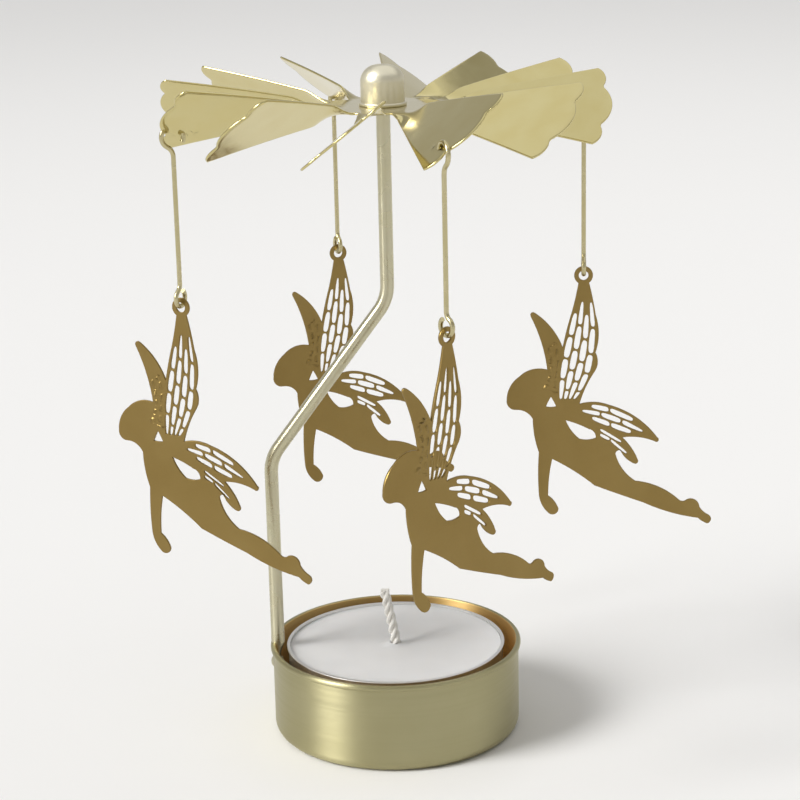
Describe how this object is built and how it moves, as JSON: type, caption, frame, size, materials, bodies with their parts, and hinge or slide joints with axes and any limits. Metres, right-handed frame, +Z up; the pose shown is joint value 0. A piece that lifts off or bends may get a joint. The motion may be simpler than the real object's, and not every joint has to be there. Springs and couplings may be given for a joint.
{
  "type": "rotary tealight carousel",
  "caption": "Candle carousel: a tealight cup with a bent post, whose pointed top carries a spinning bladed fan with flat winged figures hung from it on wire hangers.",
  "frame": {"origin": "middle of the cup's underside, on the surface that it stands on", "axes": "+Z up along the fan's axis, -X towards the foot of the post, -Y towards the viewer of the picture"},
  "size_m": [0.1046, 0.0869, 0.1184],
  "materials": {
    "cup": "polished pale gold",
    "post": "polished pale gold",
    "post_rivet": "polished pale gold",
    "fan": "mirror-bright gold sheet",
    "bearing_cap": "polished pale gold",
    "hanger": "drawn gold wire",
    "fairy": "satin gold sheet",
    "tealight_cup": "bright foil",
    "wax": "white wax",
    "wick": "waxed cotton",
    "wick_sustainer": "plain sheet"
  },
  "bodies": {
    "base": {"cup": "cup", "post": "post", "post_rivet": "post_rivet"},
    "rotor": {"fan": "fan", "bearing_cap": "bearing_cap"},
    "hanger_1": {"hanger_1": "hanger"},
    "fairy_1": {"fairy_1": "fairy"},
    "hanger_2": {"hanger_2": "hanger"},
    "fairy_2": {"fairy_2": "fairy"},
    "hanger_3": {"hanger_3": "hanger"},
    "fairy_3": {"fairy_3": "fairy"},
    "hanger_4": {"hanger_4": "hanger"},
    "fairy_4": {"fairy_4": "fairy"},
    "tealight": {"tealight_cup": "tealight_cup", "wax": "wax", "wick": "wick", "wick_sustainer": "wick_sustainer"}
  },
  "joints": [
    {"name": "rotor_spin", "type": "hinge", "parent": "base", "child": "rotor", "pos_m": [0, 0, 0.11657], "axis": [0, 0, 1], "continuous": true},
    {"name": "hanger_1_swing", "type": "hinge", "parent": "rotor", "child": "hanger_1", "pos_m": [0.03454, 0.00906, 0.10819], "axis": [0.3432, -0.9393, 0], "range_deg": [-4, 20]},
    {"name": "fairy_1_swing", "type": "hinge", "parent": "hanger_1", "child": "fairy_1", "pos_m": [0.03454, 0.00906, 0.07969], "axis": [-0.0523, -0.9986, 0], "range_deg": [-12, 12]},
    {"name": "hanger_2_swing", "type": "hinge", "parent": "rotor", "child": "hanger_2", "pos_m": [-0.00906, 0.03454, 0.10819], "axis": [0.9393, 0.3432, 0], "range_deg": [-4, 20]},
    {"name": "fairy_2_swing", "type": "hinge", "parent": "hanger_2", "child": "fairy_2", "pos_m": [-0.00906, 0.03454, 0.07969], "axis": [0.3746, -0.9272, 0], "range_deg": [-12, 12]},
    {"name": "hanger_3_swing", "type": "hinge", "parent": "rotor", "child": "hanger_3", "pos_m": [-0.03454, -0.00906, 0.10819], "axis": [-0.3432, 0.9393, 0], "range_deg": [-4, 20]},
    {"name": "fairy_3_swing", "type": "hinge", "parent": "hanger_3", "child": "fairy_3", "pos_m": [-0.03454, -0.00906, 0.07969], "axis": [-0.4384, -0.8988, 0], "range_deg": [-12, 12]},
    {"name": "hanger_4_swing", "type": "hinge", "parent": "rotor", "child": "hanger_4", "pos_m": [0.00906, -0.03454, 0.10819], "axis": [-0.9393, -0.3432, 0], "range_deg": [-4, 20]},
    {"name": "fairy_4_swing", "type": "hinge", "parent": "hanger_4", "child": "fairy_4", "pos_m": [0.00906, -0.03454, 0.07969], "axis": [0.6428, -0.766, 0], "range_deg": [-12, 12]},
    {"name": "tealight_lift", "type": "slide", "parent": "base", "child": "tealight", "axis": [0, 0, 1], "range_m": [0, 0.022]}
  ]
}
